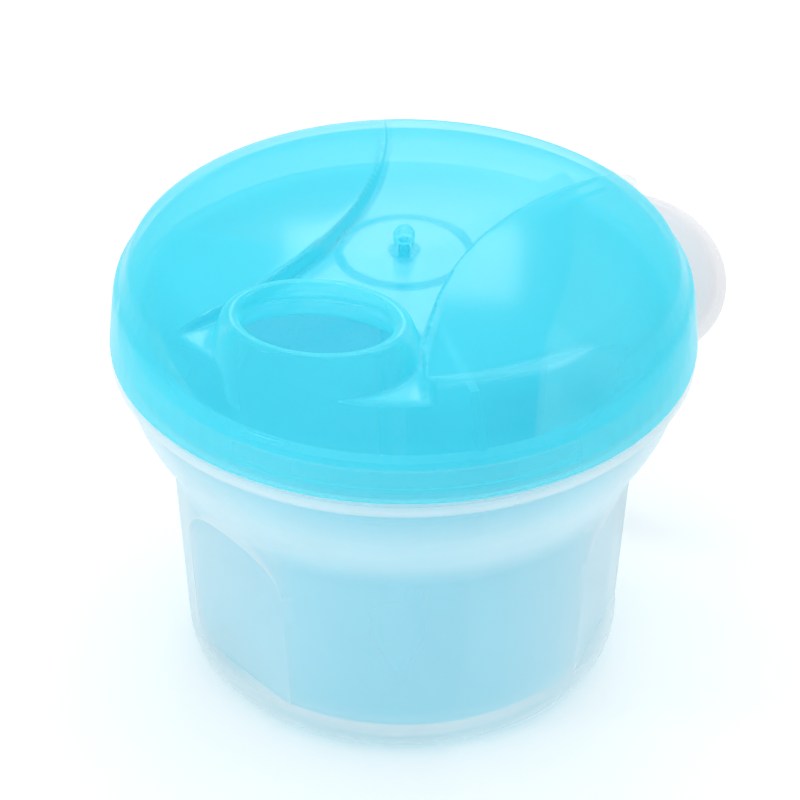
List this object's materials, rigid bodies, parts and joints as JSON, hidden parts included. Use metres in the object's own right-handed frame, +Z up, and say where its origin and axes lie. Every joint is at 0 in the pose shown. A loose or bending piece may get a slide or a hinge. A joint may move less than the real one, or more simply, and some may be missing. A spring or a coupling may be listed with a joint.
{
  "type": "formula dispenser",
  "caption": "Baby formula dispenser: frosted cup with a divided insert, a turning spouted lid and a spout cap on a strap.",
  "frame": {"origin": "centre of the cup's base, on the surface it stands on", "axes": "+Z up along the lid's pivot, -Y towards the side the spout is on, +X to the right seen from that side"},
  "size_m": [0.1257, 0.1367, 0.0976],
  "materials": {
    "frosted_clear": "satin, translucent natural polypropylene",
    "insert_blue": "satin, translucent blue polypropylene",
    "lid_cyan": "glossy, translucent cyan polypropylene"
  },
  "bodies": {
    "cup": {"cup": "frosted_clear"},
    "insert": {"compartment_insert": "insert_blue"},
    "pin": {"pivot_pin": "lid_cyan"},
    "lid": {"lid": "lid_cyan"},
    "ring": {"cap_ring": "frosted_clear"},
    "strap": {"cap_strap": "frosted_clear"},
    "cap": {"spout_cap": "frosted_clear"}
  },
  "joints": [
    {"name": "insert_lift", "type": "slide", "parent": "cup", "child": "insert", "axis": [0, 0, 1], "range_m": [0, 0.09]},
    {"name": "lid_lift", "type": "slide", "parent": "insert", "child": "pin", "axis": [0, 0, 1], "range_m": [0, 0.06]},
    {"name": "lid_turn", "type": "hinge", "parent": "pin", "child": "lid", "pos_m": [0, 0, 0.0905], "axis": [0, 0, 1], "continuous": true},
    {"name": "ring_turn", "type": "hinge", "parent": "cup", "child": "ring", "pos_m": [0, 0, 0.0703], "axis": [0, 0, 1], "continuous": true},
    {"name": "strap_swing", "type": "hinge", "parent": "ring", "child": "strap", "pos_m": [0.03142, 0.05029, 0.07035], "axis": [0.848, -0.5299, 0], "range_deg": [0, 100]},
    {"name": "cap_swing", "type": "hinge", "parent": "strap", "child": "cap", "pos_m": [0.04616, 0.07387, 0.0618], "axis": [0.848, -0.5299, 0], "range_deg": [0, 90]}
  ]
}
